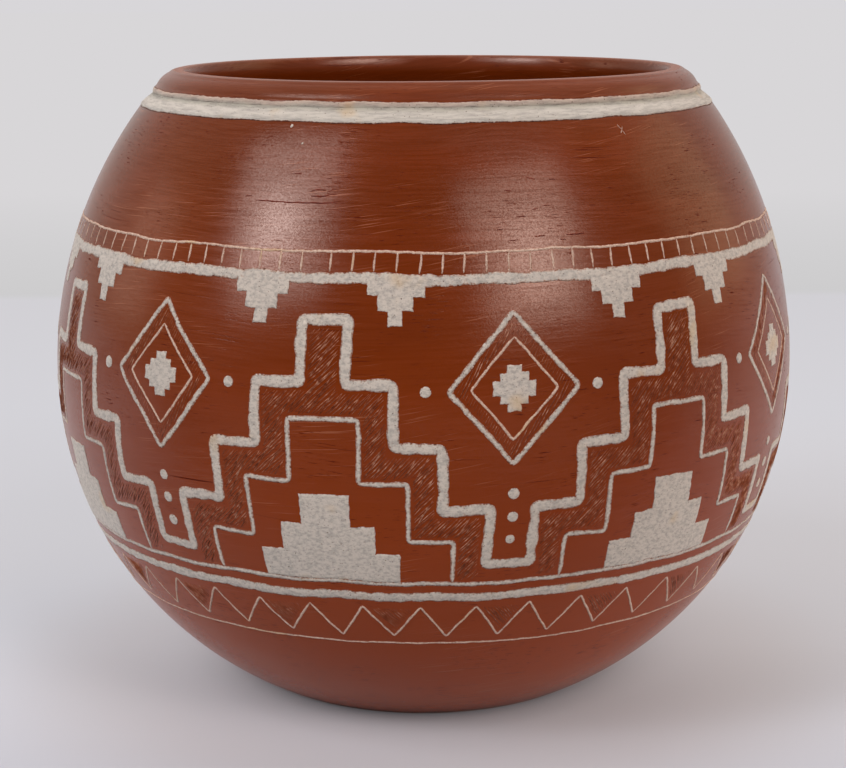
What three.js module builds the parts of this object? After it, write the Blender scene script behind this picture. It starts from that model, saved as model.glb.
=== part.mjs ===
// Coil-built clay pot with a closed-in shoulder, a rolled rim and a band of pale slip under it.
// Millimetres, +Z up, origin at the middle of the flat that the pot stands on.
// Every ring of clay is one solid, luted to the next at a ridge-and-saddle seam.

import * as THREE from 'three';

// Body outline
const bellyRadius = 84;
const bellyHeight = 72.6;
const footRadius = 40.1;
const potHeight = 139.3;
const lowerFullness = 2.033;
const upperFullness = 1.95;

// Clay thickness
const wallThickness = 6;
const floorThickness = 7.5;
const floorSweep = 16;

// Coils between the moulded base and the neck, by angles seen from the belly's centre
const coilCount = 5;
const baseEdgeAngle = -42;
const neckEdgeAngle = 28;
const ridgeRise = 2.4;

// Rim, set in from the belly: a bead, a sloped outer face, a narrow flat on top and a crisp lip
const rimInset = 22.7;
const rimWidth = 7.1;
const rimRise = 4.0;
const slopeStart = 0.3;
const lipFlatWidth = 2.3;
const beadRounding = 0.7;
const brimRounding = 0.9;
const lipEdgeRadius = 1.0;
const beadDrop = 0.8;
const beadTuck = 0.5;
const rimSeatShare = 0.5;

// Ledge under the rim, and the pale slip let into it
const ledgeWidth = 3.4;
const ledgeDrop = 2.7;
const ledgeTurnover = 0.3;
const slipDepth = 0.8;

// Facets
const facetsRound = 60;
const facetsWall = 3;
const facetsCurve = 4;
const facetsBead = 2;

const redSlip = { color: 0x8a4428, roughness: 0.42, metalness: 0 };
const paleSlip = { color: 0xcfc6ba, roughness: 0.9, metalness: 0 };

const point = (radius, height) => new THREE.Vector2(radius, height);
const midway = 0.5;

// Rim's place, worked out from its sizes: the notch is where the bead tucks in over the ledge
const bead = point(bellyRadius - rimInset, potHeight - rimRise);
const notch = point(bead.x - beadTuck, bead.y - beadDrop);
const mouth = point(bead.x - rimWidth, potHeight - lipEdgeRadius);
const lipCentre = point(mouth.x + lipEdgeRadius, mouth.y);
const shoulderEnd = point(notch.x + ledgeWidth, notch.y - ledgeDrop);

// Height of the half outline below or above the belly, so that the curve passes through its end point.
function reach(endRadius, endHeight, fullness) {
  const inward = 1 - (endRadius / bellyRadius) ** fullness;
  return Math.abs(endHeight - bellyHeight) / inward ** (1 / fullness);
}

const lowerReach = reach(footRadius, 0, lowerFullness);
const upperReach = reach(shoulderEnd.x, shoulderEnd.y, upperFullness);

// Point of the outer wall, its outward normal and its upward tangent, by the angle above the belly.
function wallAt(angle) {
  const turn = THREE.MathUtils.degToRad(angle);
  const above = angle >= 0;
  const fullness = above ? upperFullness : lowerFullness;
  const span = above ? upperReach : lowerReach;
  const out = Math.cos(turn) ** (2 / fullness);
  const up = Math.sign(turn) * Math.abs(Math.sin(turn)) ** (2 / fullness);
  const steep = Math.sign(up) * Math.abs(up) ** (fullness - 1) / span;
  const normal = point(out ** (fullness - 1) / bellyRadius, steep).normalize();
  const place = point(out * bellyRadius, bellyHeight + up * span);
  return { place, normal, tangent: point(-normal.y, normal.x) };
}

// Angle at which the outer wall comes to a given height.
function angleAt(height) {
  const above = height >= bellyHeight;
  const fullness = above ? upperFullness : lowerFullness;
  const share = Math.abs(height - bellyHeight) / (above ? upperReach : lowerReach);
  const angle = THREE.MathUtils.radToDeg(Math.asin(Math.min(1, share ** (fullness / 2))));
  return above ? angle : -angle;
}

const outerAt = (angle) => wallAt(angle).place;

function innerAt(angle) {
  const { place, normal } = wallAt(angle);
  return place.clone().addScaledVector(normal, -wallThickness);
}

function run(curve, from, to, steps) {
  const points = [];
  for (let i = 0; i <= steps; i += 1) {
    points.push(curve(THREE.MathUtils.lerp(from, to, i / steps)));
  }
  return points;
}

// Ridge on the top edge of a coil, which the coil above sits astride: outer end, crown, inner end.
function seamAt(angle) {
  const { place, tangent } = wallAt(angle);
  const inside = innerAt(angle);
  const crown = place.clone().lerp(inside, midway).addScaledVector(tangent, ridgeRise);
  return [place, crown, inside];
}

const seamAngle = (index) => THREE.MathUtils.lerp(baseEdgeAngle, neckEdgeAngle, index / coilCount);

function beadAt(turn) {
  return point(bead.x - beadTuck * (1 - Math.cos(turn)), bead.y + beadDrop * Math.sin(turn));
}

// Top of the rim from the bead inwards: the sloped face, rounded over at both ends, and the flat.
function rimTop() {
  const slopeFoot = point(bead.x, bead.y + slopeStart);
  const brim = point(lipCentre.x + lipFlatWidth, potHeight);
  const slope = brim.clone().sub(slopeFoot).normalize();
  const overBead = slopeFoot.clone().addScaledVector(slope, beadRounding);
  const underBrim = brim.clone().addScaledVector(slope, -brimRounding);
  const path = new THREE.Path();
  path.moveTo(bead.x, bead.y);
  path.quadraticCurveTo(slopeFoot.x, slopeFoot.y, overBead.x, overBead.y);
  path.lineTo(underBrim.x, underBrim.y);
  path.quadraticCurveTo(brim.x, brim.y, brim.x - brimRounding, brim.y);
  path.lineTo(lipCentre.x, potHeight);
  return path.getPoints(facetsCurve);
}

function lipAt(turn) {
  return point(lipCentre.x + lipEdgeRadius * Math.cos(turn), lipCentre.y + lipEdgeRadius * Math.sin(turn));
}

// Inside of the neck, from the closed-in wall to the upright lip
const shoulderAngle = angleAt(shoulderEnd.y);
const neckFoot = innerAt(shoulderAngle);
const neckTangent = wallAt(shoulderAngle).tangent;
const neckBend = neckFoot.clone().addScaledVector(neckTangent, (mouth.x - neckFoot.x) / neckTangent.x);
const neckInside = new THREE.QuadraticBezierCurve(neckFoot, neckBend, mouth);
const throatAt = (share) => neckInside.getPoint(share);

// Ledge: it leaves the shoulder along the wall and turns over towards the notch
const ledgeBend = shoulderEnd.clone().addScaledVector(neckTangent, ledgeDrop * ledgeTurnover / neckTangent.y);
const ledge = new THREE.QuadraticBezierCurve(outerAt(shoulderAngle), ledgeBend, notch);

// Seat of the rim on the neck: notch, inner edge of the slip, crown of the ridge, inner end
function rimSeam() {
  const inside = throatAt(rimSeatShare);
  const up = inside.clone().sub(notch).normalize();
  const crown = notch.clone().lerp(inside, midway).addScaledVector(point(up.y, -up.x), ridgeRise);
  const slipEdge = notch.clone().addScaledVector(crown.clone().sub(notch).normalize(), slipDepth);
  return [notch, slipEdge, crown, inside];
}

const rimSeat = rimSeam();

// Groove cut for the slip, from the shoulder up to the rim
function grooveFloor() {
  const points = [];
  for (let i = 0; i < facetsCurve; i += 1) {
    const share = i / facetsCurve;
    const tangent = ledge.getTangent(share);
    points.push(ledge.getPoint(share).addScaledVector(point(tangent.y, -tangent.x), -slipDepth));
  }
  points.push(rimSeat[1]);
  return points;
}

// Section turned round the upright axis: one that starts on the axis makes a bowl, any other a ring
function turned(name, section, material) {
  const points = section[0].x === 0 ? section : [...section, section[0]];
  const geometry = new THREE.LatheGeometry(points, facetsRound);
  geometry.rotateX(Math.PI / 2);
  const mesh = new THREE.Mesh(geometry, new THREE.MeshStandardMaterial(material));
  mesh.name = name;
  return mesh;
}

function baseBowl() {
  const rimAngle = seamAngle(0);
  const sweepAngle = angleAt(floorThickness);
  const sweepTop = innerAt(sweepAngle);
  const slope = wallAt(sweepAngle).tangent;
  const corner = sweepTop.clone().addScaledVector(slope, (floorThickness - sweepTop.y) / slope.y);
  const floorEdge = point(corner.x - floorSweep, floorThickness);
  const sweep = new THREE.QuadraticBezierCurve(sweepTop, corner, floorEdge);
  const section = [
    point(0, 0),
    ...run(outerAt, angleAt(0), rimAngle, facetsWall),
    ...seamAt(rimAngle).slice(1),
    ...run(innerAt, rimAngle, sweepAngle, facetsWall).slice(1),
    ...sweep.getPoints(facetsCurve).slice(1),
    point(0, floorThickness),
  ];
  return turned('base_bowl', section, redSlip);
}

function wallCoil(index) {
  const low = seamAngle(index);
  const high = seamAngle(index + 1);
  const section = [
    ...run(outerAt, low, high, facetsWall),
    ...seamAt(high).slice(1),
    ...run(innerAt, high, low, facetsWall).slice(1),
    seamAt(low)[1],
  ];
  return turned(`wall_coil_${index + 1}`, section, redSlip);
}

function neckCoil() {
  const low = seamAngle(coilCount);
  const section = [
    ...run(outerAt, low, shoulderAngle, facetsWall),
    ...grooveFloor(),
    ...rimSeat.slice(2),
    ...run(throatAt, rimSeatShare, 0, facetsWall).slice(1),
    ...run(innerAt, shoulderAngle, low, facetsWall).slice(1),
    seamAt(low)[1],
  ];
  return turned('neck_coil', section, redSlip);
}

function rimCoil() {
  const quarter = Math.PI / 2;
  const section = [
    ...run(beadAt, -quarter, 0, facetsBead),
    ...rimTop().slice(1),
    ...run(lipAt, quarter, Math.PI, facetsCurve).slice(1),
    ...run(throatAt, 1, rimSeatShare, facetsWall).slice(1),
    rimSeat[2],
    rimSeat[1],
  ];
  return turned('rim_coil', section, redSlip);
}

function slipBand() {
  const section = [...ledge.getPoints(facetsCurve), ...grooveFloor().reverse()];
  return turned('slip_band', section, paleSlip);
}

const pot = new THREE.Group();
pot.add(baseBowl());
for (let i = 0; i < coilCount; i += 1) {
  pot.add(wallCoil(i));
}
pot.add(neckCoil());
pot.add(rimCoil());
pot.add(slipBand());

export default pot;
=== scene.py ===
import bisect
import math
from functools import partial

import bmesh
import bpy
from mathutils import Matrix, Quaternion, Vector, noise


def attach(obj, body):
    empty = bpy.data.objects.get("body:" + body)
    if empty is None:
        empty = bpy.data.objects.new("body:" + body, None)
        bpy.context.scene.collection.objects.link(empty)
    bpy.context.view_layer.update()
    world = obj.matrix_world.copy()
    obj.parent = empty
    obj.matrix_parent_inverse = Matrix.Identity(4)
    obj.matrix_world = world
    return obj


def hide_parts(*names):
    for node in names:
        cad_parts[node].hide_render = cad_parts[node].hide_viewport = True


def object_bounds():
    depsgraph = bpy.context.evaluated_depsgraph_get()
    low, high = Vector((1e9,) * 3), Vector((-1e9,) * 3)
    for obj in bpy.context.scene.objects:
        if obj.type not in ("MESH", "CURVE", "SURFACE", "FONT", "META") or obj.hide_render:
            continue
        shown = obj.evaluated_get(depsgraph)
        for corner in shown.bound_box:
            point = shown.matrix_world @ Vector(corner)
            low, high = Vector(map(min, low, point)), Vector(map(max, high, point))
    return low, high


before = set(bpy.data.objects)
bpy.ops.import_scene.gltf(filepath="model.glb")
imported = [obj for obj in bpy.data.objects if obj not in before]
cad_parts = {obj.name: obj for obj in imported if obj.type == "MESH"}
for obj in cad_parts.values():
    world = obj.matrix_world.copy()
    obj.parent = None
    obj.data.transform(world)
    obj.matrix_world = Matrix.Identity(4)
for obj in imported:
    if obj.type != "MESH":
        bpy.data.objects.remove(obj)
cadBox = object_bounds()
mm = 0.001  # sizes below are in millimetres and come to metres through this
mergeWithin = 0.004  # corners nearer than this are one


def toLinear(hexColour):
    channels = [int(hexColour[i:i + 2], 16) / 255 for i in (1, 3, 5)]
    return [c / 12.92 if c <= 0.04045 else ((c + 0.055) / 1.055) ** 2.4 for c in channels] + [1.0]


def addNode(tree, kind, inputs=None, stops=None, **settings):  # an input is a value, a socket or a node
    made = tree.nodes.new("ShaderNode" + kind)
    for key, value in settings.items():
        setattr(made, key, value)
    for socket, value in (inputs or {}).items():
        if isinstance(value, bpy.types.Node):
            value = value.outputs[0]
        if isinstance(value, bpy.types.NodeSocket):
            tree.links.new(value, made.inputs[socket])
        else:
            made.inputs[socket].default_value = value
    if stops:
        ramp = made.color_ramp.elements
        while len(ramp) < len(stops):
            ramp.new(0.5)
        for element, (place, hexColour) in zip(ramp, stops):
            element.position = place
            element.color = toLinear(hexColour)
    return made


def newMaterial(name):
    material = bpy.data.materials.new(name)
    material.use_nodes = True
    material.node_tree.nodes.clear()
    return material, partial(addNode, material.node_tree)


def ripple(place, wavelength, seed=0.0):  # smooth unevenness from -1 to 1, the same each run
    return noise.noise(Vector(place) / wavelength + Vector((0, 0, seed)))


def clamped(value):
    return max(0, min(1, value))


def spread(low, high, steps):
    return [low + (high - low) * i / steps for i in range(steps + 1)]


# The vessel. Its two largest sizes come from the frame, the others repeat the potter's sizes.
vessel = {
    "bellyRadius": cadBox[1][0] / mm,
    "height": cadBox[1][2] / mm,
    "bellyHeight": 72.6,
    "footRadius": 40.1,
    "lowerFullness": 2.033,
    "upperFullness": 1.95,
    "wall": 6.0,
    "floor": 7.5,
    "floorSweep": 16.0,
    "rimRadius": 61.3,
    "rimWidth": 7.1,
    "rimRise": 4.0,
    "slopeStart": 0.3,
    "lipFlat": 2.3,
    "beadRounding": 0.7,
    "brimRounding": 0.9,
    "faceBow": 0.32,
    "lipEdge": 1.0,
    "lipFall": 2.7,        # the lip rolls over this far down on the inside
    "beadDrop": 0.8,
    "beadTuck": 0.5,
    "ledgeWidth": 3.4,
    "ledgeDrop": 2.7,
    "ledgeTurnover": 0.3,
    "stepsRound": 320,
    "stepsWall": 120,
    "stepsInside": 100,
    "slipRoom": 0.08,      # the clay stands this far inside the outline, for the slip laid on it
    "outOfRound": 0.14,    # how far the clay dips inwards where the hand pressed it
    "pressLength": 70.0,
    "stillRadius": 1.0,    # nothing is pressed nearer the axis
    "scrapeDepth": 0.03,   # faint facets left by scraping and rubbing
    "scrapeLength": 15.0,
    "scrapeFlatness": 1.8,
    "rimDip": 0.3,         # how far the rim's height wanders
    "rimDipLength": 45.0,
    "rimDipFrom": 100.0,
    "rimDipOver": 35.0,
    "lean": 1.1,           # how far the upper half leans over, at the rim
    "leanFrom": 72.0,
    "leanOver": 65.0,
    "leanCurve": 1.5,
}

bead = Vector((vessel["rimRadius"], vessel["height"] - vessel["rimRise"]))
notch = bead - Vector((vessel["beadTuck"], vessel["beadDrop"]))
shoulder = notch + Vector((vessel["ledgeWidth"], -vessel["ledgeDrop"]))
lipCentre = Vector((bead.x - vessel["rimWidth"], vessel["height"])) + Vector((1, -1)) * vessel["lipEdge"]


def reachTo(end, fullness):
    inward = 1 - (end[0] / vessel["bellyRadius"]) ** fullness
    return abs(end[1] - vessel["bellyHeight"]) / inward ** (1 / fullness)


lowerReach = reachTo((vessel["footRadius"], 0), vessel["lowerFullness"])
upperReach = reachTo(shoulder, vessel["upperFullness"])


def halfOf(above):
    return (vessel["upperFullness"], upperReach) if above else (vessel["lowerFullness"], lowerReach)


def wallNormal(angle):
    fullness, span = halfOf(angle >= 0)
    turn = math.radians(angle)
    out = math.cos(turn) ** (2 - 2 / fullness) / vessel["bellyRadius"]
    up = math.copysign(abs(math.sin(turn)) ** (2 - 2 / fullness), turn) / span
    return Vector((out, up)).normalized()


def wallAt(angle, depth=0.0):
    fullness, span = halfOf(angle >= 0)
    turn = math.radians(angle)
    out = math.cos(turn) ** (2 / fullness) * vessel["bellyRadius"]
    up = math.copysign(abs(math.sin(turn)) ** (2 / fullness), turn) * span
    return Vector((out, vessel["bellyHeight"] + up)) - wallNormal(angle) * depth


def angleAt(height):
    fullness, span = halfOf(height >= vessel["bellyHeight"])
    share = abs(height - vessel["bellyHeight"]) / span
    angle = math.degrees(math.asin(min(1, share ** (fullness / 2))))
    return angle if height >= vessel["bellyHeight"] else -angle


def bend(start, corner, end, steps):
    return [start.lerp(corner, s).lerp(corner.lerp(end, s), s) for s in spread(0, 1, steps)]


def slopeAt(angle):
    normal = wallNormal(angle)
    return Vector((-normal.y, normal.x))


def outerOutline():
    shoulderAngle = angleAt(shoulder.y)
    points = [wallAt(a) for a in spread(angleAt(0), shoulderAngle, vessel["stepsWall"])]
    slope = slopeAt(shoulderAngle)
    corner = shoulder + slope * (vessel["ledgeDrop"] * vessel["ledgeTurnover"] / slope.y)
    points += bend(shoulder, corner, notch, 8)[1:]
    for t in spread(-math.pi / 2, 0, 5)[1:]:
        tuck, drop = vessel["beadTuck"] * (math.cos(t) - 1), vessel["beadDrop"] * math.sin(t)
        points.append(bead + Vector((tuck, drop)))
    slopeFoot = bead + Vector((0, vessel["slopeStart"]))
    lipTop = Vector((lipCentre.x, vessel["height"]))
    brim = lipTop + Vector((vessel["lipFlat"], 0))
    face = (brim - slopeFoot).normalized()
    overBead = slopeFoot + face * vessel["beadRounding"]
    underBrim = brim - face * vessel["brimRounding"]
    points += bend(bead, slopeFoot, overBead, 4)[1:]
    bow = Vector((face.y, -face.x)) * vessel["faceBow"] * 4  # a parabola that is its full height midway
    points += [overBead.lerp(underBrim, s) + bow * s * (1 - s) for s in spread(0, 1, 10)[1:]]
    points += bend(underBrim, brim, brim - Vector((vessel["brimRounding"], 0)), 5)[1:]
    return points + [points[-1].lerp(lipTop, s) for s in (0.5, 1.0)]


def innerOutline():
    lipFoot = Vector((lipCentre.x, vessel["height"] - vessel["lipFall"]))
    points = []
    for t in spread(math.pi / 2, math.pi, 10)[1:]:
        points.append(lipFoot + Vector((vessel["lipEdge"] * math.cos(t), vessel["lipFall"] * math.sin(t))))
    shoulderAngle, sweepAngle = angleAt(shoulder.y), angleAt(vessel["floor"])
    throatFoot = wallAt(shoulderAngle, vessel["wall"])
    slope = slopeAt(shoulderAngle)
    corner = throatFoot + slope * ((points[-1].x - throatFoot.x) / slope.x)
    points += bend(points[-1], corner, throatFoot, 10)[1:]
    wallAngles = spread(shoulderAngle, sweepAngle, vessel["stepsInside"])
    points += [wallAt(a, vessel["wall"]) for a in wallAngles[1:]]
    slope = slopeAt(sweepAngle)
    corner = points[-1] + slope * ((vessel["floor"] - points[-1].y) / slope.y)
    floorEdge = Vector((corner.x - vessel["floorSweep"], vessel["floor"]))
    points += bend(points[-1], corner, floorEdge, 10)[1:]
    return points + [Vector((0, vessel["floor"]))]


outline = outerOutline()
outlineLengths = [0.0]
for low, high in zip(outline, outline[1:]):
    outlineLengths.append(outlineLengths[-1] + (high - low).length)


def lengthTo(farFrom):  # how far along the outline the point lies that the measure finds nearest
    return min(zip(outline, outlineLengths), key=lambda pair: farFrom(pair[0]))[1]


bellyLength = lengthTo(lambda point: abs(point.y - vessel["bellyHeight"]))
notchLength = lengthTo(lambda point: (point - notch).length) - bellyLength
shoulderLength = lengthTo(lambda point: (point - shoulder).length) - bellyLength


# Flat drawing space is (along, up, rise): round the belly, up the wall from the belly, and off the surface.
def onVessel(along, up, rise):
    length = up + bellyLength
    i = min(max(bisect.bisect_right(outlineLengths, length), 2), len(outline) - 2)
    share = (length - outlineLengths[i - 1]) / (outlineLengths[i] - outlineLengths[i - 1])
    place = outline[i - 1].lerp(outline[i], share)
    before = (outline[i] - outline[i - 2]).normalized()
    after = (outline[i + 1] - outline[i - 1]).normalized()
    slope = before.lerp(after, share)
    place = place + Vector((slope.y, -slope.x)).normalized() * rise
    turn = along / vessel["bellyRadius"]
    return Vector((place.x * math.sin(turn), -place.x * math.cos(turn), place.y))


def pressByHand(bm):  # every piece gets the same unevenness, so that nothing lifts off the clay
    for vert in bm.verts:
        place = vert.co.copy()
        around = Vector((place.x, place.y, 0))
        radius = around.length
        if radius > vessel["stillRadius"]:
            pressed = 0.5 + 0.5 * ripple(place, vessel["pressLength"], 3.1)
            flattened = (place.x, place.y, place.z * vessel["scrapeFlatness"])
            scraped = 0.5 + 0.5 * ripple(flattened, vessel["scrapeLength"], 8.4)
            inwards = vessel["slipRoom"] + vessel["outOfRound"] * pressed + vessel["scrapeDepth"] * scraped
            vert.co -= around / radius * inwards * min(1, radius / vessel["footRadius"])
        high = clamped((place.z - vessel["rimDipFrom"]) / vessel["rimDipOver"])
        vert.co.z -= high * vessel["rimDip"] * (0.5 + 0.5 * ripple(around, vessel["rimDipLength"], 5.7))
        above = max(0, place.z - vessel["leanFrom"]) / vessel["leanOver"]
        vert.co.x += vessel["lean"] * above ** vessel["leanCurve"]


def finishPiece(name, bm, material, nodes=()):
    bmesh.ops.remove_doubles(bm, verts=bm.verts, dist=mergeWithin)
    bmesh.ops.recalc_face_normals(bm, faces=bm.faces)
    pressByHand(bm)
    bmesh.ops.scale(bm, vec=(mm, mm, mm), verts=bm.verts)
    mesh = bpy.data.meshes.new(name)
    bm.to_mesh(mesh)
    bm.free()
    mesh.polygons.foreach_set("use_smooth", [True] * len(mesh.polygons))
    mesh.materials.append(material)
    piece = bpy.data.objects.new(name, mesh)
    bpy.context.scene.collection.objects.link(piece)
    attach(piece, "root")
    if nodes:
        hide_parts(*nodes)
    print(name, "has", len(mesh.polygons), "faces")
    return piece


def spinWire(bm, points, closed, steps):
    verts = [bm.verts.new((p.x, 0, p.y)) for p in points]
    pairs = list(zip(verts, verts[1:])) + ([(verts[-1], verts[0])] if closed else [])
    edges = [bm.edges.new(pair) for pair in pairs]
    bmesh.ops.spin(
        bm, geom=verts + edges, cent=(0, 0, 0), axis=(0, 0, 1), dvec=(0, 0, 0), angle=2 * math.pi,
        steps=steps, use_merge=True, use_normal_flip=False, use_duplicate=False,
    )


# Places on the wall for a material: the ring about the axis, and the way up the wall in its third part.
def wallPlaces(add):
    coords = add("TexCoord").outputs["Object"]
    level = add("VectorMath", {0: coords, 1: (1, 1, 0)}, operation="MULTIPLY")
    radius = add("VectorMath", {0: level}, operation="LENGTH").outputs["Value"]
    safeRadius = add("Math", {0: radius, 1: vessel["footRadius"] * mm}, operation="MAXIMUM")
    widen = add("Math", {0: vessel["bellyRadius"] * mm, 1: safeRadius}, operation="DIVIDE")
    ring = add("VectorMath", {0: level, "Scale": widen}, operation="SCALE")
    height = add("SeparateXYZ", {0: coords}).outputs[2]
    above = add("Math", {0: height, 1: vessel["bellyHeight"] * mm}, operation="SUBTRACT")
    turn = add("Math", {0: above, 1: radius}, operation="ARCTAN2")
    up = add("Math", {0: turn, 1: vessel["bellyRadius"] * mm}, operation="MULTIPLY")
    return coords, height, add("VectorMath", {0: ring, 1: add("CombineXYZ", {2: up})}, operation="ADD")


# Stone-burnished red slip: fine iron-rich clay rubbed with a pebble round and round, so it shows a
# satin gloss with a frosty grain in it, faint level streaks, fine light scratches and a few dark drags.
redSlip = {
    "shades": [(0.36, "#5F2406"), (0.5, "#682908"), (0.64, "#722D0C")],
    "shadeShares": (0.3, 0.32, 0.38),  # of the tone, the blotches and the streaks
    "paintedFootLight": "#8C3B13",         # painted light: lighter towards the foot, for the floor's bounce; the foot is rubbed less too
    "paintedLightFrom": 118.0,
    "paintedLightTo": 10.0,
    "lessRubbed": (70.0, 15.0, 0.6),  # from this height down to this one, and by how much
    "wornLipAndHighlight": "#A0796B",      # the lip's edge is lighter: partly clay worn down by hands, partly a painted highlight
    "wornRoughness": 0.6,
    "sheen": "#FFECE5",        # iron in the slip warms what it mirrors
    "roughness": 0.21,
    "roughnessSpread": 0.03,
    "ior": 1.45,
    "diffuseRoughness": 0.9,
    "streak": (11.0, 0.32),    # a pebble's rub: its length round the pot and its height
    "streakSpan": (0.3, 0.7),
    "streakPolish": 0.6,
    "streakHeight": 0.3,
    "tone": (50.0, 9.0),
    "toneOffset": 7.0,
    "blotch": 30.0,
    "wander": 45.0,            # the rubbing wanders up and down over this length
    "wanderHigh": 6.0,
    "slant": (0.17, 0.08, 0),  # the light scratches climb a little round the pot
    "scratchHeight": -0.2,
    "dragHeight": -0.4,
    "grain": 0.34,             # coarser than real temper grit, so that it shows
    "grainSpan": (0.36, 0.64),
    "grainPolish": (0.28, 0.6),
    "relief": 0.013,
}
marks = {  # length and height, where the noise starts, its soft edge, and the patches they are found in
    "scratch": {"size": (15.0, 0.22), "offset": 21.0, "edge": (0.625, 0.71), "patch": (20.0, 0.47, 0.63)},
    "drag": {"size": (30.0, 0.25), "offset": 43.0, "edge": (0.7, 0.72), "patch": (20.0, 0.5, 0.58)},
    "tick": {"size": (3.2, 0.2), "offset": 57.0, "edge": (0.645, 0.675), "patch": (12.0, 0.5, 0.6)},
}
markColours = {"scratch": "#905338", "drag": "#551D10", "tick": "#551D10"}


def makeRedSlip():
    material, add = newMaterial("stoneBurnishedRedSlip")
    coords, height, places = wallPlaces(add)
    wander = add("TexNoise", {"Vector": coords, "Scale": 1 / (redSlip["wander"] * mm), "Detail": 1.0})
    upwards = (0, 0, redSlip["wanderHigh"] * mm)
    shift = add("VectorMath", {0: wander.outputs["Color"], 1: upwards}, operation="MULTIPLY")
    moved = add("VectorMath", {0: places, 1: shift}, operation="ADD")
    climb = add("VectorMath", {0: coords, 1: redSlip["slant"]}, operation="DOT_PRODUCT").outputs["Value"]
    slanted = add("VectorMath", {0: moved, 1: add("CombineXYZ", {2: climb})}, operation="SUBTRACT")

    def rubbed(size, detail, offset=0.0, source=moved):  # noise drawn out round the pot
        around, high = 1 / (size[0] * mm), 1 / (size[1] * mm)
        sizes = {"Vector": source, "Location": (offset, 0, 0), "Scale": (around, around, high)}
        return add("TexNoise", {"Vector": add("Mapping", sizes), "Scale": 1.0, "Detail": detail})

    def marked(colour, kind, source=moved):
        mark = marks[kind]
        low, high = mark["edge"]
        strength = rubbed(mark["size"], 2, mark["offset"], source)
        line = add("MapRange", {0: strength, 1: low, 2: high}, interpolation_type="SMOOTHSTEP")
        size, low, high = mark["patch"]
        field = add("TexNoise", {"Vector": coords, "Scale": 1 / (size * mm), "Detail": 1.0})
        where = add("MapRange", {0: field, 1: low, 2: high}, interpolation_type="SMOOTHSTEP")
        mask = add("Math", {0: line, 1: where}, operation="MULTIPLY")
        mixed = add("Mix", {0: mask, 6: colour, 7: toLinear(markColours[kind])}, data_type="RGBA")
        return mixed.outputs[2], mask

    streak = rubbed(redSlip["streak"], 3)
    tone = rubbed(redSlip["tone"], 3, redSlip["toneOffset"])
    blotch = add("TexNoise", {"Vector": coords, "Scale": 1 / (redSlip["blotch"] * mm), "Detail": 3.0})
    shade = 0.0
    for part, share in zip((tone, blotch, streak), redSlip["shadeShares"]):
        shade = add("Math", {0: part, 1: share, 2: shade}, operation="MULTIPLY_ADD")
    colour = add("ValToRGB", {0: shade}, redSlip["shades"])
    # painted light: down to the foot the red is mixed towards a lighter one, for the floor's bounce
    footLightShare = add("MapRange", {0: height, 1: redSlip["paintedLightFrom"] * mm, 2: redSlip["paintedLightTo"] * mm})
    colour = add("Mix", {0: footLightShare, 6: colour, 7: toLinear(redSlip["paintedFootLight"])}, data_type="RGBA").outputs[2]
    colour, scratchMask = marked(colour, "scratch", slanted)
    colour, dragMask = marked(colour, "drag")
    colour, tickMask = marked(colour, "tick")
    dragMask = add("Math", {0: dragMask, 1: tickMask}, operation="MAXIMUM")
    wearAndHighlight = add("Attribute", attribute_name="wearAndHighlight").outputs["Fac"]
    # partly wear, partly a painted highlight: the lip is mixed towards a lighter pink
    colour = add("Mix", {0: wearAndHighlight, 6: colour, 7: toLinear(redSlip["wornLipAndHighlight"])}, data_type="RGBA").outputs[2]

    grain = add("TexNoise", {"Vector": coords, "Scale": 1 / (redSlip["grain"] * mm), "Detail": 2.0})
    low, high = redSlip["streakSpan"]
    glossy, rough = (redSlip["roughness"] + side * redSlip["roughnessSpread"] for side in (-1, 1))
    roughness = add("MapRange", {0: streak, 1: low, 2: high, 3: glossy, 4: rough})
    roughness = add("Math", {0: wearAndHighlight, 1: redSlip["wornRoughness"], 2: roughness}, operation="MULTIPLY_ADD")
    low, high = redSlip["grainSpan"]
    least, most = redSlip["grainPolish"]
    polished = add("MapRange", {0: grain, 1: low, 2: high, 3: least, 4: most})
    polished = add("Math", {0: streak, 1: redSlip["streakPolish"], 2: polished}, operation="MULTIPLY_ADD")
    polished = add("Math", {0: polished, 1: redSlip["streakPolish"] / 2}, operation="SUBTRACT")
    high, low, most = redSlip["lessRubbed"]
    dull = add("MapRange", {0: height, 1: high * mm, 2: low * mm, 4: most})
    for unrubbed in (dragMask, wearAndHighlight):
        dull = add("Math", {0: dull, 1: unrubbed}, operation="MAXIMUM")
    bright = add("Math", {0: 1.0, 1: dull}, operation="SUBTRACT")
    polished = add("Math", {0: polished, 1: bright}, operation="MULTIPLY", use_clamp=True)
    relief = grain
    for part, key in ((streak, "streakHeight"), (scratchMask, "scratchHeight"), (dragMask, "dragHeight")):
        relief = add("Math", {0: part, 1: redSlip[key], 2: relief}, operation="MULTIPLY_ADD")
    bump = add("Bump", {"Strength": 1.0, "Distance": redSlip["relief"] * mm, "Height": relief})
    shader = add("BsdfPrincipled", {
        "Base Color": colour, "Roughness": roughness, "IOR": redSlip["ior"], "Normal": bump,
        "Diffuse Roughness": redSlip["diffuseRoughness"], "Specular IOR Level": polished,
        "Specular Tint": toLinear(redSlip["sheen"]),
    })
    add("OutputMaterial", {"Surface": shader})
    return material
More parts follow.
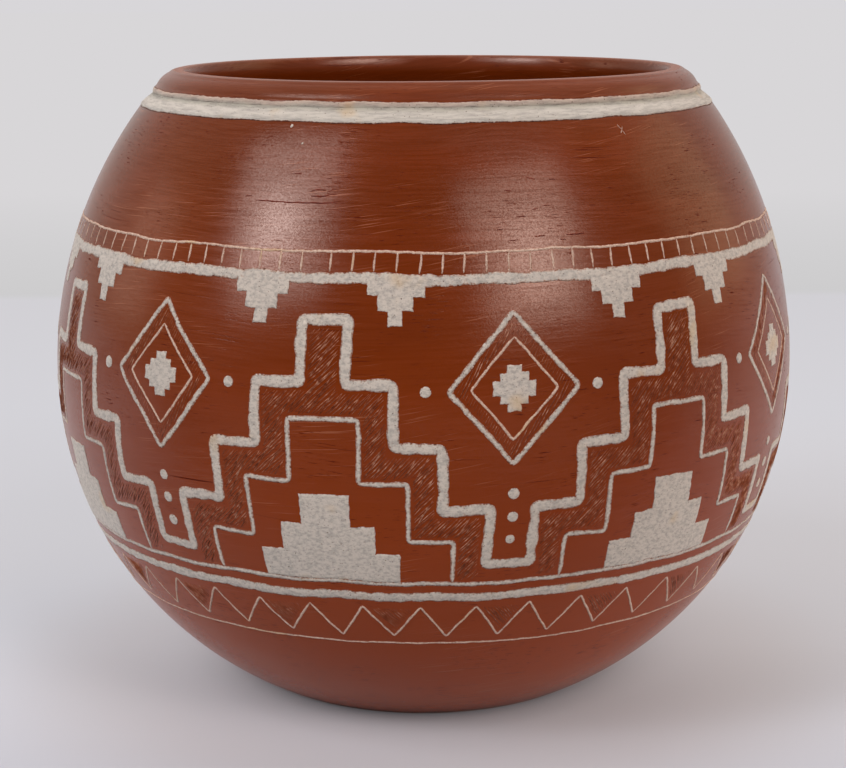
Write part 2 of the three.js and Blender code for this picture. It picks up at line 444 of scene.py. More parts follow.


# White clay slip, brushed on thick and left unpolished: chalky and dull, with grey flecks, a few
# pits down to the red, and a dark outer rim: partly red clay through the thinning slip, partly painted shade
# of the cut line it sits in.
creamSlip = {
    "band": ("#BCB9B4", "#A09D9A"),     # pale and grey, in the brushed band
    "thick": ("#C3BDB7", "#A19D9A"),
    "rubbedIn": ("#C9B5A8", "#AF9385"),  # in a fine line the red shows through
    "mottle": 0.62,
    "mottleSpan": (0.36, 0.56),
    "ochre": "#C3A983",
    "stain": (11.0, 0.6, 0.72, 0.5),    # size, where it starts and is full, and how strong it gets
    "pit": "#4A2E22",
    "pitSpan": (0.66, 0.74),
    "fleck": 0.34,
    "fleckHeight": 0.6,
    "ragged": 0.42,
    "tornShare": 0.24,
    "edgeSpan": 0.15,
    # the darkest of these is partly painted shade of the cut line round the slip
    "edge": [(0.06, "#48190A"), (0.22, "#A4684E"), (0.44, "#DCC0B4"), (0.72, "#FFFFFF")],
    # across the band: the greyer stretch near the top is painted shade in the crease under the bead; the pink
    # above it is the slip lapping onto the red
    "across": [(0.42, "#FFFFFF"), (0.64, "#E4E4DE"), (0.82, "#E4E4DE"), (0.92, "#F6E6DF")],
    "roughness": 0.88,
    "ior": 1.5,
    "relief": 0.05,
}


def makeCreamSlip(name, shades, drawnOut, edgeFrom):
    material, add = newMaterial(name)
    coords, _, places = wallPlaces(add)
    around, high = 1 / (creamSlip["mottle"] * drawnOut * mm), 1 / (creamSlip["mottle"] * mm)
    brushed = add("Mapping", {"Vector": places, "Scale": (around, around, high)})
    mottle = add("TexNoise", {"Vector": brushed, "Scale": 1.0, "Detail": 4, "Roughness": 0.7})
    colour = add("ValToRGB", {0: mottle}, list(zip(creamSlip["mottleSpan"], reversed(shades))))
    size, low, high, most = creamSlip["stain"]
    stain = add("TexNoise", {"Vector": coords, "Scale": 1 / (size * mm), "Detail": 3})
    stained = add("MapRange", {0: stain, 1: low, 2: high, 4: most}, interpolation_type="SMOOTHSTEP")
    colour = add("Mix", {0: stained, 6: colour, 7: toLinear(creamSlip["ochre"])}, data_type="RGBA").outputs[2]
    fleck = add("TexNoise", {"Vector": coords, "Scale": 1 / (creamSlip["fleck"] * mm), "Detail": 2})
    low, high = creamSlip["pitSpan"]
    pitted = add("MapRange", {0: fleck, 1: low, 2: high}, interpolation_type="SMOOTHSTEP")
    colour = add("Mix", {0: pitted, 6: colour, 7: toLinear(creamSlip["pit"])}, data_type="RGBA").outputs[2]
    torn = add("TexNoise", {"Vector": coords, "Scale": 1 / (creamSlip["ragged"] * mm), "Detail": 3})
    rise = add("Attribute", attribute_name="rise").outputs["Fac"]
    tornRise = add("Math", {0: torn, 1: creamSlip["tornShare"], 2: rise}, operation="MULTIPLY_ADD")
    level = add("MapRange", {0: tornRise, 1: edgeFrom, 2: edgeFrom + creamSlip["edgeSpan"]})
    across = add("Attribute", attribute_name="across").outputs["Fac"]
    # partly painted shade: the dark outer rim stands for the cut line, and the band's greyer stretch for its
    # crease
    for share, tints in ((level, creamSlip["edge"]), (across, creamSlip["across"])):
        tint = add("ValToRGB", {0: share}, tints)
        tinted = add("Mix", {0: 1.0, 6: tint, 7: colour}, data_type="RGBA", blend_type="MULTIPLY")
        colour = tinted.outputs[2]
    relief = add("Math", {0: fleck, 1: creamSlip["fleckHeight"], 2: mottle}, operation="MULTIPLY_ADD")
    bump = add("Bump", {"Strength": 1.0, "Distance": creamSlip["relief"] * mm, "Height": relief})
    shader = add("BsdfPrincipled", {
        "Base Color": colour, "Roughness": creamSlip["roughness"], "IOR": creamSlip["ior"],
        "Normal": bump, "Diffuse Roughness": 1.0,
    })
    add("OutputMaterial", {"Surface": shader})
    return material


# Red clay that a point or a grain of grit has torn: dry, crumbly and dull.
tornClay = {
    "scratched": ("#5C2A16", "#7C4630", "#A67E6A"),  # dark, middle and light crumbs
    "dragged": ("#4E160C", "#622114", "#74301F"),
    "crumb": 1.2,
    "crumbStops": (0.35, 0.52, 0.68),
    "roughness": 0.8,
    "ior": 1.5,
    "specular": 0.15,
    "relief": 0.03,
}


def makeTornClay(name, shades):
    material, add = newMaterial(name)
    coords = add("TexCoord").outputs["Object"]
    crumbs = add("TexNoise", {"Vector": coords, "Scale": 1 / (tornClay["crumb"] * mm), "Detail": 3})
    colour = add("ValToRGB", {0: crumbs}, list(zip(tornClay["crumbStops"], shades)))
    bump = add("Bump", {"Strength": 1.0, "Distance": tornClay["relief"] * mm, "Height": crumbs})
    shader = add("BsdfPrincipled", {
        "Base Color": colour, "Roughness": tornClay["roughness"], "IOR": tornClay["ior"],
        "Specular IOR Level": tornClay["specular"], "Normal": bump,
    })
    add("OutputMaterial", {"Surface": shader})
    return material


burnished = makeRedSlip()
bandSlip = makeCreamSlip("brushedCreamSlip", creamSlip["band"], drawnOut=9.0, edgeFrom=0.14)
thickSlip = makeCreamSlip("paintedCreamSlip", creamSlip["thick"], drawnOut=1.6, edgeFrom=0.075)
thinSlip = makeCreamSlip("rubbedInCreamSlip", creamSlip["rubbedIn"], drawnOut=1.0, edgeFrom=0.06)
scratchedClay = makeTornClay("finelyScratchedRedClay", tornClay["scratched"])
draggedClay = makeTornClay("gritDraggedRedClay", tornClay["dragged"])
print("materials are made")

rimWearAndHighlight = {  # where the rim is worn by hands and lightened as a painted highlight: most on the lip's top and inner edge, a little on its face
    "lipWidth": 2.2,
    "lipDepth": 0.7,
    "fade": 0.5,
    "onLip": 0.3,
    "onFace": 0.05,
}
bm = bmesh.new()
spinWire(bm, [Vector((0, 0))] + outline + innerOutline(), False, vessel["stepsRound"])
wearAndHighlightLayer = bm.verts.layers.float.new("wearAndHighlight")
for vert in bm.verts:
    inLip = lipCentre.x + rimWearAndHighlight["lipWidth"] - math.hypot(vert.co.x, vert.co.y)
    onTop = vert.co.z - vessel["height"] + rimWearAndHighlight["lipDepth"]
    onLip = clamped(inLip / rimWearAndHighlight["fade"]) * clamped(onTop / rimWearAndHighlight["fade"])
    vert[wearAndHighlightLayer] = max(rimWearAndHighlight["onLip"] * onLip, rimWearAndHighlight["onFace"] * clamped(vert.co.z - bead.y))
finishPiece("potBody", bm, burnished, [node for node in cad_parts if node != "slip_band"])

# The band of slip under the rim: it fills the ledge, laps the underside of the rim and ends raggedly.
band = {
    "below": 0.25,         # how far it runs on below the ledge
    "above": 1.4,          # and up over the bead
    "thickness": 0.26,
    "buried": 0.12,
    "buriedShade": -0.1,   # the rise that its material reads there
    "lowRagged": ((0.306, 9.0, 1.0), (0.102, 1.7, 2.0)),   # how far, over what length, and a seed
    "highRagged": ((0.34, 12.0, 4.0), (0.153, 1.5, 6.0)),
    "roundedOver": 9,      # its edges are a ninth of its width
    "edgeCurve": 0.6,
    "lumps": (0.25, 4.0, 9.0),
    "pooled": 0.5,         # the slip stands deeper in the crease
    "creaseWidth": 0.7,
    "spunRadius": 80.0,    # it is spun as a flat ring here, one wide, and then laid on the wall
    "stepsAcross": 18,
    "stepsRound": 900,
}


def wandering(ring, parts):
    return sum(far * ripple(ring, length, seed) for far, length, seed in parts)


bm = bmesh.new()
low, high = shoulderLength - band["below"], notchLength + band["above"]
across = [band["spunRadius"] + s for s in spread(0, 1, band["stepsAcross"])]
loop = [Vector((x, 1)) for x in across] + [Vector((x, -1)) for x in reversed(across)]
spinWire(bm, loop, True, band["stepsRound"])
riseLayer = bm.verts.layers.float.new("rise")
acrossLayer = bm.verts.layers.float.new("across")
for vert in bm.verts:
    turn = math.atan2(vert.co.x, -vert.co.y)
    share = math.hypot(vert.co.x, vert.co.y) - band["spunRadius"]
    outside = vert.co.z > 0
    ring = Vector((math.sin(turn), math.cos(turn), 0)) * vessel["bellyRadius"]
    bottom, top = low + wandering(ring, band["lowRagged"]), high + wandering(ring, band["highRagged"])
    up = bottom * (1 - share) + top * share
    full = clamped(min(share, 1 - share) * band["roundedOver"])
    far, length, seed = band["lumps"]
    lump = 1 + far * ripple(ring, length, seed + share)
    pooled = band["pooled"] * math.exp(-((up - notchLength) / band["creaseWidth"]) ** 2)
    rise = (band["thickness"] * full ** band["edgeCurve"] * lump + pooled) if outside else -band["buried"]
    vert[riseLayer] = rise if outside else band["buriedShade"]
    vert[acrossLayer] = share
    vert.co = onVessel(turn * vessel["bellyRadius"], up, rise)
finishPiece("slipBand", bm, bandSlip, ["slip_band"])

# Ways to draw on the wall, laid out flat in millimetres: round the belly from the front, and up from it.
stroke = {
    "step": 0.5,
    "wander": (0.5, 11.0),   # the hand's wander off the line: how far, and over what length
    "tremble": (0.14, 2.2),
    "widthSpread": 0.27,
    "widthLength": 1.9,
    "taper": 1.6,            # an end thins out over this length
    "endWidth": 0.35,
    "buried": 0.15,
    "edge": 0.24,            # the thin outer part, where the slip only stains the clay
    "edgeRise": 0.04,
    "faceFrom": 1.7,         # in edge widths
    "faceRise": 0.08,
    "crown": 0.1,
    "fieldRagged": (0.24, 1.1),
}


def ringPlace(along, up):
    turn = along / vessel["bellyRadius"]
    return Vector((math.sin(turn) * vessel["bellyRadius"], math.cos(turn) * vessel["bellyRadius"], up))


def byHand(along, up):  # the place that the hand comes to, near the one that it aims at
    ring = ringPlace(along, up)
    shifts = []
    for seed in (1.3, 60.9):  # round the pot, and up it
        shifts.append(wandering(ring, [(*stroke["wander"], seed), (*stroke["tremble"], seed + 30)]))
    return Vector((along + shifts[0], up + shifts[1]))


def eased(corners, step, passes=2):  # a line through the corners in short steps, with its corners rounded
    points = [Vector(corners[0])]
    for start, end in zip(corners, corners[1:]):
        start, end = Vector(start), Vector(end)
        parts = max(1, round((end - start).length / step))
        points += [start.lerp(end, s) for s in spread(0, 1, parts)[1:]]
    for _ in range(passes):
        middles = [(a + b * 2 + c) / 4 for a, b, c in zip(points, points[1:], points[2:])]
        points = [points[0]] + middles + [points[-1]]
    return points


def strokeSection(width):
    half = width / 2
    edge = min(stroke["edge"], half / 2)
    side = [(half, -stroke["buried"]), (half, 0), (half - edge, stroke["edgeRise"])]
    side.append((half - edge * stroke["faceFrom"], stroke["faceRise"]))
    corners = side + [(0, stroke["crown"])] + [(-x, y) for x, y in reversed(side)]
    section = bpy.data.curves.new("strokeSection", "CURVE")
    spline = section.splines.new("POLY")
    spline.points.add(len(corners) - 1)
    for knot, (x, y) in zip(spline.points, corners):
        knot.co = (x, y, 0, 1)
    spline.use_cyclic_u = True
    return bpy.data.objects.new("strokeSection", section)


def wrapOnWall(bm):
    riseLayer = bm.verts.layers.float.new("rise")
    for vert in bm.verts:
        vert[riseLayer] = vert.co.z
        vert.co = onVessel(*vert.co)


def drawStrokes(name, lines, width, material, step=stroke["step"], passes=2):
    sectionObject = strokeSection(width)
    drawn = bpy.data.curves.new(name + "Lines", "CURVE")
    drawn.dimensions = "3D"
    drawn.twist_mode = "Z_UP"
    drawn.bevel_mode = "OBJECT"
    drawn.bevel_object = sectionObject
    drawn.use_fill_caps = True
    for line in lines:
        points = eased(line, step, passes)
        lengths = [0.0]
        for start, end in zip(points, points[1:]):
            lengths.append(lengths[-1] + (end - start).length)
        spline = drawn.splines.new("POLY")
        spline.points.add(len(points) - 1)
        for knot, place, length in zip(spline.points, points, lengths):
            toEnd = min(length, lengths[-1] - length) / stroke["taper"]
            knot.co = (*byHand(*place), 0, 1)
            knot.radius = 1 + stroke["widthSpread"] * ripple(ringPlace(*place), stroke["widthLength"], 17.0)
            knot.radius *= stroke["endWidth"] + (1 - stroke["endWidth"]) * min(1, toEnd) ** 0.5
    drawnObject = bpy.data.objects.new(name + "Lines", drawn)
    bpy.context.scene.collection.objects.link(drawnObject)
    made = drawnObject.evaluated_get(bpy.context.evaluated_depsgraph_get())
    mesh = bpy.data.meshes.new_from_object(made)
    bm = bmesh.new()
    bm.from_mesh(mesh)
    for old in (drawnObject, sectionObject):
        bpy.data.objects.remove(old)
    bpy.data.meshes.remove(mesh)
    wrapOnWall(bm)
    return finishPiece(name, bm, material, ())


hatching = {  # in millimetres, apart from the shares of the spacing
    "spacingWander": (0.5, 2.0),  # a share of the spacing, and a length
    "spacingStretch": 3,          # so that neighbours differ
    "endWander": (0.5, 1.3),
    "slantWander": (0.3, 1.1),
    "shortest": 1.0,
}


# Fine parallel scratches that fill a shape: each pair of crossings with its outline bounds one of them.
def scratchesIn(loops, angle, spacing):
    turn = math.radians(angle)
    run, side = Vector((math.cos(turn), math.sin(turn))), Vector((-math.sin(turn), math.cos(turn)))
    sides = [(Vector(a), Vector(b)) for loop in loops for a, b in zip(loop, loop[1:] + loop[:1])]
    reach = [side.dot(a) for a, _ in sides]
    far, length = hatching["endWander"]
    slantFar, slantLength = hatching["slantWander"]
    spacingFar, spacingLength = hatching["spacingWander"]
    lines = []
    for i in range(int((max(reach) - min(reach)) / spacing)):
        offset = min(reach) + (i + 0.5) * spacing
        stretched = (offset * hatching["spacingStretch"], min(reach), 0)
        offset += spacingFar * spacing * ripple(stretched, spacingLength, 2.0)
        crossings = []
        for a, b in sides:
            low, high = side.dot(a) - offset, side.dot(b) - offset
            if low * high < 0:
                crossings.append(run.dot(a.lerp(b, low / (low - high))))
        crossings.sort()
        for start, end in zip(crossings[::2], crossings[1::2]):
            start += far * ripple((offset, start, 1), length, 3.0)
            end += far * ripple((offset, end, 2), length, 4.0)
            if end - start > hatching["shortest"]:
                slant = slantFar * ripple((offset, end, 5), slantLength, 8.0)
                lines.append([run * start + side * offset, run * end + side * (offset + slant)])
    return lines


# A field of slip built of small squares: those outside its steps are taken away, its border is
# roughened, and its top is set in, so that the slip thins out to a stained edge.
def fieldFromSteps(bm, centre, rows, cell):
    width = max(half for half, _, _ in rows)
    bottom, top = min(low for _, low, _ in rows), max(high for _, _, high in rows)
    across, tall = round(2 * width / cell), round((top - bottom) / cell)
    grid = bmesh.ops.create_grid(bm, x_segments=across, y_segments=tall, size=0.5)["verts"]
    bmesh.ops.scale(bm, vec=(2 * width, top - bottom, 1), verts=grid)
    bmesh.ops.translate(bm, vec=(centre, (top + bottom) / 2, 0), verts=grid)
    faces = list({face for vert in grid for face in vert.link_faces})

    def outside(face):
        middle = face.calc_center_median()
        inRows = (abs(middle.x - centre) < half and low < middle.y < high for half, low, high in rows)
        return not any(inRows)

    bmesh.ops.delete(bm, geom=[face for face in faces if outside(face)], context="FACES")


def raiseFaces(bm):  # from below the clay up to its face
    raised = bmesh.ops.extrude_face_region(bm, geom=bm.faces[:])["geom"]
    for vert in [part for part in raised if isinstance(part, bmesh.types.BMVert)]:
        vert.co.z = 0.0
    return [part for part in raised if isinstance(part, bmesh.types.BMFace)]


def insetTop(bm, top):
    bmesh.ops.inset_region(bm, faces=top, thickness=stroke["edge"], use_even_offset=True, use_boundary=True)
    for vert in {vert for face in top for vert in face.verts}:
        vert.co.z = stroke["crown"]


def drawFields(name, fields, cell, material):
    bm = bmesh.new()
    for centre, rows in fields:
        fieldFromSteps(bm, centre, rows, cell)
    for vert in bm.verts:
        place = byHand(vert.co.x, vert.co.y)
        if vert.is_boundary:
            far, length = stroke["fieldRagged"]
            flat = (vert.co.x, vert.co.y, 0)
            place += Vector([far * ripple(flat, length, seed) for seed in (5.0, 25.0)])
        vert.co = (*place, -stroke["buried"])
    top = raiseFaces(bm)
    insetTop(bm, top)
    wrapOnWall(bm)
    return finishPiece(name, bm, material, ())


# The frieze: stepped mountains round the belly, with diamonds in the valleys, between two borders.
frieze = {
    "repeats": 7,
    "firstCentre": -20.0,
    "gridsInRepeat": 16,
    "valley": -27.0,
    "levelRise": 12.5,
    "levelHalves": (7, 5, 3, 1),   # half widths of the mountain's levels, in grid units
    "narrowest": 1.0,              # levels of less half width are left out
    "boldWidth": 2.3,
    "mediumWidth": 1.1,
    "fineWidth": 0.55,
    "scratchWidth": 0.22,
    "innerGap": 7.0,
    "scratchSpacing": 0.62,
    "crossSpacing": 1.7,
    "scratchMargins": (1.75, 5.95),
    "scratchFoot": 1.2,
    "scratchAngle": 45,
    "crossAngle": 59,
    "pastStart": 2.0,              # how far a ring runs over its own start
    "ringStarts": {                # in repeats before the first mountain
        "topBold": 0.7, "bottomBold": 1.6, "bottomMedium": 1.2, "topFine": 1.4, "bottomFine": 0.4,
    },
    "overlap": 0.4,                # how far one thing runs into the line that it meets
    "topBold": 31.0,
    "topFine": 36.2,
    "tickSpacing": 4.7,
    "tickFoot": 1.3,
    "bottomMedium": -31.5,
    "bottomBold": -35.0,
    "teeth": (-37.6, -46.4),
    "teethInRepeat": 6,
    "bottomFine": -48.6,
    "diamond": (13.0, 15.0, 9.5),  # half width, half height, and its middle above the belly
    "diamondGap": 4.2,
    "diamondLap": 0.1,             # as a share of its side
    "diamondMargins": (1.2, 3.4),
    "diamondAngle": 62,
    "toothAngle": -50,
    "toothMargins": (1.6, 0.5),
    "cross": ((1.5, 4.5), (3.0, 3.0), (4.5, 1.5)),  # half widths and heights of its rows
    "pyramid": (15.0, 10.0, 5.0),  # half widths of its levels
    "pyramidRise": 6.5,
    "hanging": (6.0, 3.75, 1.5),
    "hangingRise": 3.0,
    "hangingPlace": 23.5,
    "rowOverlap": 0.01,
    "dots": ((0, -11.5), (0, -16.5), (0, -21.5), (-17.5, 9.5), (17.5, 9.5)),  # from a valley's middle
    "dotRadius": 1.15,
    "dotSpread": (0.2, 5.0, 3.0),  # share of their size, length and seed
    "dotSides": 14,
    "cell": 0.75,
}
repeat = 2 * math.pi * vessel["bellyRadius"] / frieze["repeats"]
gridUnit = repeat / frieze["gridsInRepeat"]
centres = [frieze["firstCentre"] + repeat * i for i in range(frieze["repeats"])]


def mountain(centre, shrink, foot):
    rightSide = []
    below = foot
    for i, halfInGrids in enumerate(frieze["levelHalves"]):
        half = halfInGrids * gridUnit - shrink
        if half < frieze["narrowest"]:
            break
        top = frieze["valley"] + frieze["levelRise"] * (i + 1) - shrink
        rightSide += [(half, below), (half, top)]
        below = top
    return [(centre - x, y) for x, y in rightSide] + [(centre + x, y) for x, y in reversed(rightSide)]


def diamond(centre, gap):
    halfWidth, halfHeight, middle = frieze["diamond"]
    across = halfWidth - gap
    tall = across * halfHeight / halfWidth
    right, left = (centre + across, middle), (centre - across, middle)
    return [(centre, middle + tall), right, (centre, middle - tall), left]


def ringLine(name):  # once round the pot, and a little over its own start
    up = frieze[name]
    low = centres[0] - repeat * frieze["ringStarts"][name]
    return [(low, up), (low + repeat * frieze["repeats"] + frieze["pastStart"], up)]


valleys = [centre + repeat / 2 for centre in centres]
stepped = [(centres[0] - repeat / 2, frieze["valley"])]
for centre in centres:
    stepped += mountain(centre, 0, frieze["valley"])
stepped.append((centres[-1] + repeat / 2 + frieze["pastStart"], frieze["valley"]))
bolds = [stepped, ringLine("topBold"), ringLine("bottomBold")]
drawStrokes("boldStrokes", bolds, frieze["boldWidth"], thickSlip)

mediums = [ringLine("bottomMedium")]
fines = [ringLine("topFine"), ringLine("bottomFine")]
scratches, fields = [], []
foot = frieze["bottomMedium"]
ceiling = frieze["topBold"] - frieze["overlap"]
middle = frieze["diamond"][2]
over = frieze["rowOverlap"]
for centre in centres:
    mediums.append(mountain(centre, frieze["innerGap"], foot + frieze["overlap"]))
    edges = [mountain(centre, margin, foot + frieze["scratchFoot"]) for margin in frieze["scratchMargins"]]
    strip = edges[0] + list(reversed(edges[1]))
    scratches += scratchesIn([strip], frieze["scratchAngle"], frieze["scratchSpacing"])
    scratches += scratchesIn([strip], frieze["crossAngle"], frieze["crossSpacing"])
    rows = []
    for i, half in enumerate(frieze["pyramid"]):
        low = foot + frieze["overlap"] + frieze["pyramidRise"] * i
        rows.append((half, low - over, low + frieze["pyramidRise"] + over))
    fields.append((centre, rows))
for centre in valleys:
    outer, inner = diamond(centre, 0), diamond(centre, frieze["diamondGap"])
    mediums.append(outer + [outer[0], Vector(outer[0]).lerp(Vector(outer[1]), frieze["diamondLap"])])
    fines.append(inner + [inner[0]])
    ring = [diamond(centre, margin) for margin in frieze["diamondMargins"]]
    scratches += scratchesIn(ring, frieze["diamondAngle"], frieze["scratchSpacing"])
    fields.append((centre, [(half, middle - tall, middle + tall) for half, tall in frieze["cross"]]))
    for side in (-1, 1):
        rows = []
        for i, half in enumerate(frieze["hanging"]):
            high = ceiling - frieze["hangingRise"] * i
            rows.append((half, high - frieze["hangingRise"], min(ceiling, high + over)))
        fields.append((centre + side * frieze["hangingPlace"], rows))
for i in range(round(repeat * frieze["repeats"] / frieze["tickSpacing"])):
    along = centres[0] + frieze["tickSpacing"] * i
    fines.append([(along, frieze["topBold"] + frieze["tickFoot"]), (along, frieze["topFine"])])
high, low = frieze["teeth"]
toothHalf = repeat / frieze["teethInRepeat"] / 2
teeth = []
side, above = frieze["toothMargins"]
for i in range(frieze["repeats"] * frieze["teethInRepeat"]):
    along = centres[0] + toothHalf * 2 * i
    teeth += [(along - toothHalf, high), (along, low)]
    if i % 2:
        left, right = along - toothHalf + side, along + toothHalf - side
        inset = [(left, high - above), (right, high - above), (along, low + side)]
        scratches += scratchesIn([inset], frieze["toothAngle"], frieze["scratchSpacing"])
teeth.append((teeth[0][0] + repeat * frieze["repeats"], high))
fines.append(teeth)

# Marks of making and use above the frieze: drags of grit, a nick, and specks of slip under the band.
wear = {
    "dragWidth": 0.25,
    "nickWidth": 0.24,
    "drags": [
        [(-39.7, 46.0), (-33.5, 46.0), (-27.5, 46.2), (-20.1, 46.1)],
        [(-26.5, 48.7), (-24.8, 49.1), (-23.0, 48.8)], [(-22.7, 48.5), (-20.8, 48.9)],
        [(-26.4, 47.7), (-23.6, 47.6), (-21.0, 47.9)], [(-31.8, 52.2), (-29.5, 52.4)],
        [(-43.0, 47.0), (-41.1, 47.0)], [(17.7, 48.5), (19.5, 48.3)], [(23.3, 51.0), (25.2, 50.6)],
        [(28.7, 50.1), (30.5, 50.1)], [(23.5, 44.3), (24.9, 44.5)], [(20.1, 43.1), (22.1, 43.1)],
        [(30.9, 38.6), (35.3, 39.0)], [(23.5, 38.8), (25.9, 38.8)], [(17.6, 38.2), (19.8, 38.4)],
        [(29.2, 37.7), (30.6, 37.7)], [(15.4, 40.6), (16.7, 40.6)],
    ],
    "nick": [
        [(53.0, 61.7), (53.8, 60.7)], [(54.5, 61.5), (53.7, 60.2)],
        [(53.1, 59.7), (53.8, 60.5)], [(54.5, 59.3), (54.0, 60.4)],
    ],
    "spatter": [(-35.9, 62.5, 0.42), (-31.5, 58.6, 0.34)],
    "spatterSides": 10,
}
drawStrokes("gritDrags", wear["drags"], wear["dragWidth"], draggedClay, passes=1)
drawStrokes("nick", wear["nick"], wear["nickWidth"], thinSlip, passes=1)
drawStrokes("mediumStrokes", mediums, frieze["mediumWidth"], thickSlip)
drawStrokes("fineStrokes", fines, frieze["fineWidth"], thinSlip, passes=1)
drawStrokes("scratches", scratches, frieze["scratchWidth"], scratchedClay, step=2.0, passes=0)
drawFields("slipFields", fields, frieze["cell"], thickSlip)

dots = []
far, length, seed = frieze["dotSpread"]
for centre in valleys:
    for along, up in frieze["dots"]:
        place = byHand(centre + along, up)
        radius = frieze["dotRadius"] * (1 + far * ripple(ringPlace(*place), length, seed))
        dots.append((place, radius, frieze["dotSides"]))
dots += [((along, up), radius, wear["spatterSides"]) for along, up, radius in wear["spatter"]]
bm = bmesh.new()
for place, radius, sides in dots:
    dot = bmesh.ops.create_circle(bm, cap_ends=True, segments=sides, radius=radius)["verts"]
    bmesh.ops.translate(bm, vec=(*place, -stroke["buried"]), verts=dot)
top = raiseFaces(bm)
insetTop(bm, top)
bmesh.ops.poke(bm, faces=top)
wrapOnWall(bm)
finishPiece("slipDots", bm, thickSlip, ())
print("the frieze is drawn")

# Stage: one large flat pale sheet; past a soft seam its far part glows as the backdrop.
stage = {
    "size": 12000.0,
    "cells": 24,
    "seam": 526.0,
    "seamBlur": 12.0,
    "table": [(0.37, "#7E8188"), (0.43, "#BEC5D4"), (0.505, "#D5DEEE"), (1.0, "#DBDFEA")],  # front to seam; the darkening towards the front is painted shade
    "blush": "#F8F3EF",      # red light that the pot throws on the table round it
    "blushFrom": 72.0,
    "blushTo": 114.0,
    "farGlow": "#D5D5DB",    # the far table is as bright as in a lit room, for the camera alone
    "glow": 0.75,
    "glowFrom": -60.0,
    "glowTo": 260.0,
    "wall": [(0.0, "#CDCCCD"), (0.13, "#D8D6D8")],
    "wallEnd": 4000.0,
    "roughness": 0.5,
    "ior": 1.3,
}


def makeSheet():
    material, add = newMaterial("paleBackdropPaper")
    coords = add("TexCoord").outputs["Object"]
    depth = add("SeparateXYZ", {0: coords}).outputs[1]
    seam = stage["seam"] * mm
    low, high = seam - stage["seamBlur"] * mm, seam + stage["seamBlur"] * mm
    beyond = add("MapRange", {0: depth, 1: low, 2: high}, interpolation_type="SMOOTHSTEP")
    # painted shade: the paper darkens towards the front, in front of the pot
    table = add("ValToRGB", {0: add("MapRange", {0: depth, 1: -seam, 2: seam})}, stage["table"])
    away = add("VectorMath", {0: coords}, operation="LENGTH").outputs["Value"]
    low, high = stage["blushTo"] * mm, stage["blushFrom"] * mm
    blushShare = add("MapRange", {0: away, 1: low, 2: high}, interpolation_type="SMOOTHSTEP")
    blush = {0: blushShare, 6: table, 7: toLinear(stage["blush"])}
    table = add("Mix", blush, data_type="RGBA", blend_type="MULTIPLY").outputs[2]
    paper = add("BsdfPrincipled", {"Base Color": table, "Roughness": stage["roughness"], "IOR": stage["ior"]})
    low, high = stage["glowFrom"] * mm, stage["glowTo"] * mm
    glowing = add("MapRange", {0: depth, 1: low, 2: high, 4: stage["glow"]})
    seen = add("LightPath").outputs["Is Camera Ray"]
    glowing = add("Math", {0: glowing, 1: seen}, operation="MULTIPLY")
    farLight = add("Emission", {"Color": toLinear(stage["farGlow"]), "Strength": 1.0})
    floor = add("MixShader", {0: glowing, 1: paper, 2: farLight})
    wallShare = add("MapRange", {0: depth, 1: seam, 2: stage["wallEnd"] * mm})
    wallLight = add("Emission", {"Color": add("ValToRGB", {0: wallShare}, stage["wall"]), "Strength": 1.0})
    add("OutputMaterial", {"Surface": add("MixShader", {0: beyond, 1: floor, 2: wallLight})})
    return material


bm = bmesh.new()
cells = stage["cells"]
bmesh.ops.create_grid(bm, x_segments=cells, y_segments=cells, size=stage["size"] / 2 * mm)
sheetMesh = bpy.data.meshes.new("backdropSheet")
bm.to_mesh(sheetMesh)
bm.free()
sheetMesh.materials.append(makeSheet())
sheet = bpy.data.objects.new("backdropSheet", sheetMesh)
bpy.context.scene.collection.objects.link(sheet)

# Light: a soft window from the front left and one from the front right, each with a brighter pane
# in its middle, weak warm ones at the far left, far right and upper right, and a pale room behind.
lamps = [
    {"name": "leftWindow", "tint": "#FFFBF8", "radiance": 4.7,
     "turn": -53, "rise": 37, "roll": 22, "away": 1100, "size": (540, 800)},
    {"name": "leftPane", "tint": "#FFFBF8", "radiance": 9.2,
     "turn": -53, "rise": 34, "roll": 0, "away": 1080, "size": (240, 300)},
    {"name": "rightWindow", "tint": "#FFF1E6", "radiance": 4.6,
     "turn": 35, "rise": 32, "roll": 0, "away": 1100, "size": (600, 740)},
    {"name": "rightPane", "tint": "#FFF1E6", "radiance": 6.0,
     "turn": 36, "rise": 29, "roll": 0, "away": 1080, "size": (280, 360)},
    {"name": "farLeftWindow", "tint": "#FFE6D2", "radiance": 1.0,
     "turn": -100, "rise": 16, "roll": 0, "away": 1100, "size": (360, 440)},
    {"name": "farRightDoor", "tint": "#FFDAAA", "radiance": 0.8,
     "turn": 104, "rise": 22, "roll": 0, "away": 1100, "size": (600, 640)},
    {"name": "skylight", "tint": "#FFF0E2", "radiance": 0.3,
     "turn": 66, "rise": 64, "roll": 0, "away": 1100, "size": (900, 560)},
]
lampAim = Vector((0, 0, 75 * mm))
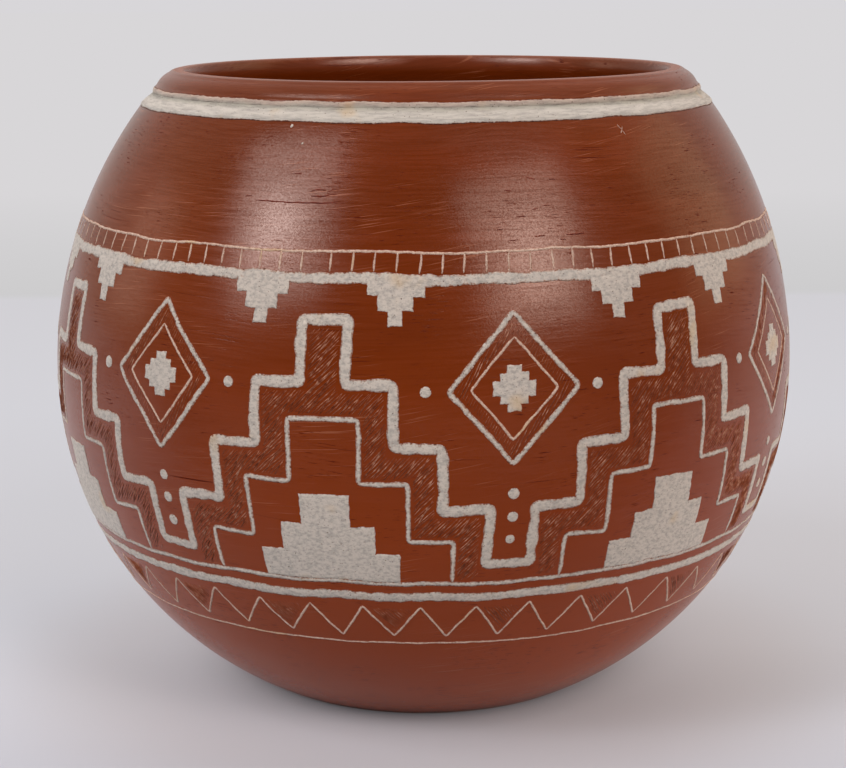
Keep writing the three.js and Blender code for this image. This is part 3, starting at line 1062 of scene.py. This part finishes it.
for lamp in lamps:
    light = bpy.data.lights.new(lamp["name"], "AREA")
    light.shape = "RECTANGLE"
    light.size, light.size_y = (side * mm for side in lamp["size"])
    light.color = toLinear(lamp["tint"])[:3]
    light.energy = lamp["radiance"] * math.pi * light.size * light.size_y
    turn, rise = math.radians(lamp["turn"]), math.radians(lamp["rise"])
    level = math.cos(rise)
    back = Vector((math.sin(turn) * level, -math.cos(turn) * level, math.sin(rise)))
    lampObject = bpy.data.objects.new(lamp["name"], light)
    lampObject.location = lampAim + back * lamp["away"] * mm
    aimed = (-back).to_track_quat("-Z", "Y") @ Quaternion((0, 0, 1), math.radians(lamp["roll"]))
    lampObject.rotation_euler = aimed.to_euler()
    lampObject.visible_camera = False
    bpy.context.scene.collection.objects.link(lampObject)

room = {  # from the front to the back: a dim front, warm side walls and a pale back
    "walls": [
        (0.0, "#454040"), (0.2, "#6F6968"), (0.33, "#A09A98"), (0.44, "#9A846F"),
        (0.58, "#CFBAA6"), (0.75, "#C9BBAE"), (1.0, "#CFCCCA"),
    ],
    "seen": "#D8D6D9",
}
world = bpy.data.worlds.new("paleRoom")
world.use_nodes = True
world.node_tree.nodes.clear()
add = partial(addNode, world.node_tree)
backwards = add("SeparateXYZ", {0: add("TexCoord").outputs["Generated"]}).outputs[1]
lit = add("ValToRGB", {0: add("MapRange", {0: backwards, 1: -1.0, 2: 1.0})}, room["walls"])
seen = add("LightPath").outputs["Is Camera Ray"]
chosen = add("Mix", {0: seen, 6: lit, 7: toLinear(room["seen"])}, data_type="RGBA").outputs[2]
add("OutputWorld", {"Surface": add("Background", {"Color": chosen, "Strength": 1.0})})
bpy.context.scene.world = world
bpy.context.scene.view_settings.view_transform = "Standard"
print("stage and light are set")

# Camera: where the photograph was taken from, by the outline of the belly, rim and foot.
camera = {
    "place": (-0.12, -462.0, 163.2),
    "down": 11.9,
    "roll": -0.31,
    "focalPixels": 2022.2,
    "imageWidth": 846,
    "sensorWidth": 36.0,
    "clip": (0.01, 40.0),  # in metres
}
view = bpy.data.cameras.new("photoView")
view.sensor_width = camera["sensorWidth"]
view.lens = view.sensor_width * camera["focalPixels"] / camera["imageWidth"]
view.clip_start, view.clip_end = camera["clip"]
cameraObject = bpy.data.objects.new("photoView", view)
tilt = Matrix.Rotation(math.radians(90 - camera["down"]), 4, "X")
roll = Matrix.Rotation(math.radians(camera["roll"]), 4, "Z")
cameraObject.matrix_world = Matrix.Translation(Vector(camera["place"]) * mm) @ tilt @ roll
bpy.context.scene.collection.objects.link(cameraObject)
bpy.context.scene.camera = cameraObject
